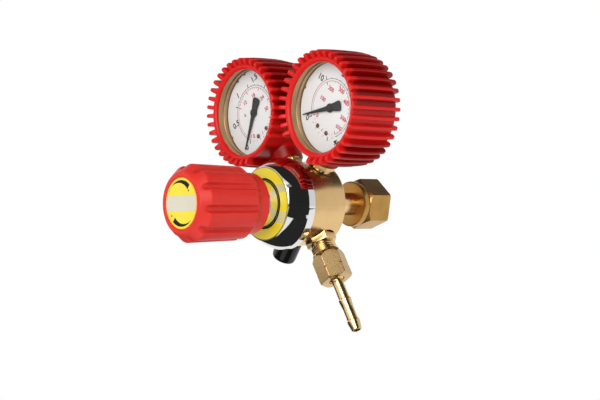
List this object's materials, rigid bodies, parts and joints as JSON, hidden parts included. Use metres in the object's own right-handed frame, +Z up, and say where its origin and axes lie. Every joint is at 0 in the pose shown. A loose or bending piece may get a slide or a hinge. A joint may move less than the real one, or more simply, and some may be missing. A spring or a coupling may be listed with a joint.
{
  "type": "acetylene regulator",
  "caption": "Acetylene gas pressure regulator with a brass body, rib-booted dial gauges, fluted adjusting knob, inlet nut and barbed hose tail.",
  "frame": {"origin": "centre of the inlet sealing face on the regulator's axis, where the cylinder valve's face meets the gasket", "axes": "+Z up between the gauges, +Y along the inlet thread towards the cylinder valve, the knob towards -Y"},
  "size_m": [0.15, 0.1633, 0.1781],
  "materials": {
    "brass_body": "satin machined",
    "brass_bright": "polished",
    "brass_dark": "brushed",
    "chrome_bonnet": "mirror",
    "label_print": "printed film",
    "knob_red": "gloss",
    "boot_red": "satin",
    "cap_black": "gloss",
    "case_metal": "brushed",
    "window_clear": "clear",
    "dial_white": "matt print",
    "pointer_black": "matt",
    "screw_bronze": "aged",
    "spring_steel": "drawn wire",
    "plated_steel": "plated",
    "seal_rubber": "matt",
    "gasket_fibre": "fibre",
    "filter_bronze": "sintered",
    "tube_bronze": "drawn"
  },
  "bodies": {
    "regulator": {"body": "brass_body", "inlet_stem": "brass_bright", "inlet_gasket": "gasket_fibre", "inlet_filter": "filter_bronze", "bonnet": "chrome_bonnet", "bonnet_label": "label_print", "clamp_ring": "plated_steel", "diaphragm": "seal_rubber", "adjusting_spring": "spring_steel", "seat_nozzle": "brass_bright", "poppet_spring": "spring_steel", "outlet_adapter": "brass_bright", "relief_body": "brass_bright", "relief_spring": "spring_steel", "relief_cap": "cap_black", "socket_low": "brass_bright", "washer_low": "screw_bronze", "case_low": "case_metal", "boot_low": "boot_red", "window_low": "window_clear", "dial_low": "dial_white", "dial_screws_low": "screw_bronze", "movement_low": "brass_bright", "bourdon_tube_low": "tube_bronze", "vent_plug_low": "seal_rubber", "socket_high": "brass_bright", "washer_high": "screw_bronze", "case_high": "case_metal", "boot_high": "boot_red", "window_high": "window_clear", "dial_high": "dial_white", "dial_screws_high": "screw_bronze", "movement_high": "brass_bright", "bourdon_tube_high": "tube_bronze", "vent_plug_high": "seal_rubber"},
    "button": {"spring_button": "plated_steel"},
    "knob": {"knob": "knob_red", "knob_label": "label_print", "adjusting_screw": "plated_steel"},
    "valve": {"diaphragm_plate": "plated_steel", "poppet": "brass_bright"},
    "inlet_nut": {"inlet_nut": "brass_dark"},
    "tail": {"hose_tail": "brass_bright"},
    "hose_nut": {"outlet_nut": "brass_dark"},
    "relief_valve": {"relief_poppet": "brass_dark"},
    "pointer_low": {"pointer_low": "pointer_black", "pinion_low": "brass_bright"},
    "sector_low": {"sector_low": "brass_dark"},
    "link_low": {"link_low": "plated_steel"},
    "pointer_high": {"pointer_high": "pointer_black", "pinion_high": "brass_bright"},
    "sector_high": {"sector_high": "brass_dark"},
    "link_high": {"link_high": "plated_steel"}
  },
  "joints": [
    {"name": "screw_advance", "type": "slide", "parent": "regulator", "child": "button", "axis": [0, 1, 0], "range_m": [0, 0.0075], "deforming": ["adjusting_spring"]},
    {"name": "knob_turn", "type": "hinge", "parent": "button", "child": "knob", "pos_m": [0, -0.1, 0], "axis": [0, 1, 0], "range_deg": [0, 1800]},
    {"name": "valve_lift", "type": "slide", "parent": "regulator", "child": "valve", "axis": [0, 1, 0], "range_m": [0, 0.0008], "stiffness_N_per_m": 800, "springref_m": -0.001, "deforming": ["diaphragm", "poppet_spring", "adjusting_spring"]},
    {"name": "inlet_nut_spin", "type": "hinge", "parent": "regulator", "child": "inlet_nut", "pos_m": [0, 0, 0], "axis": [0, 1, 0], "continuous": true},
    {"name": "tail_advance", "type": "slide", "parent": "regulator", "child": "tail", "axis": [0.5329, 0, -0.8462], "range_m": [0, 0.004]},
    {"name": "hose_nut_turn", "type": "hinge", "parent": "tail", "child": "hose_nut", "pos_m": [0.02664, -0.048, -0.04231], "axis": [-0.5329, 0, 0.8462], "range_deg": [0, 1080]},
    {"name": "relief_lift", "type": "slide", "parent": "regulator", "child": "relief_valve", "axis": [-0.5329, 0, -0.8462], "range_m": [0, 0.0015], "stiffness_N_per_m": 300, "springref_m": -0.002, "deforming": ["relief_spring"]},
    {"name": "sector_turn_low", "type": "hinge", "parent": "regulator", "child": "sector_low", "pos_m": [-0.02947, -0.056, 0.0468], "axis": [0, -1, 0], "range_deg": [0, 33.75], "stiffness_Nm_per_rad": 0.01, "springref_deg": -2.86, "deforming": ["bourdon_tube_low"]},
    {"name": "pointer_turn_low", "type": "hinge", "parent": "regulator", "child": "pointer_low", "pos_m": [-0.0381, -0.0624, 0.0605], "axis": [0, 1, 0], "range_deg": [0, 270]},
    {"name": "link_turn_low", "type": "hinge", "parent": "sector_low", "child": "link_low", "pos_m": [-0.02311, -0.0543, 0.04817], "axis": [0, -1, 0], "range_deg": [-33.75, 0]},
    {"name": "sector_turn_high", "type": "hinge", "parent": "regulator", "child": "sector_high", "pos_m": [0.02947, -0.056, 0.0468], "axis": [0, -1, 0], "range_deg": [0, 33.75], "stiffness_Nm_per_rad": 0.01, "springref_deg": -2.86, "deforming": ["bourdon_tube_high"]},
    {"name": "pointer_turn_high", "type": "hinge", "parent": "regulator", "child": "pointer_high", "pos_m": [0.0381, -0.0624, 0.0605], "axis": [0, 1, 0], "range_deg": [0, 270]},
    {"name": "link_turn_high", "type": "hinge", "parent": "sector_high", "child": "link_high", "pos_m": [0.03345, -0.0543, 0.04166], "axis": [0, -1, 0], "range_deg": [-33.75, 0]}
  ],
  "couplings": [
    {"joint": "knob_turn", "follows": "screw_advance", "rad_per_m": 4188.8},
    {"joint": "hose_nut_turn", "follows": "tail_advance", "rad_per_m": 4699.5},
    {"joint": "pointer_turn_low", "follows": "sector_turn_low", "ratio": 8},
    {"joint": "link_turn_low", "follows": "sector_turn_low", "ratio": -1},
    {"joint": "pointer_turn_high", "follows": "sector_turn_high", "ratio": 8},
    {"joint": "link_turn_high", "follows": "sector_turn_high", "ratio": -1}
  ]
}
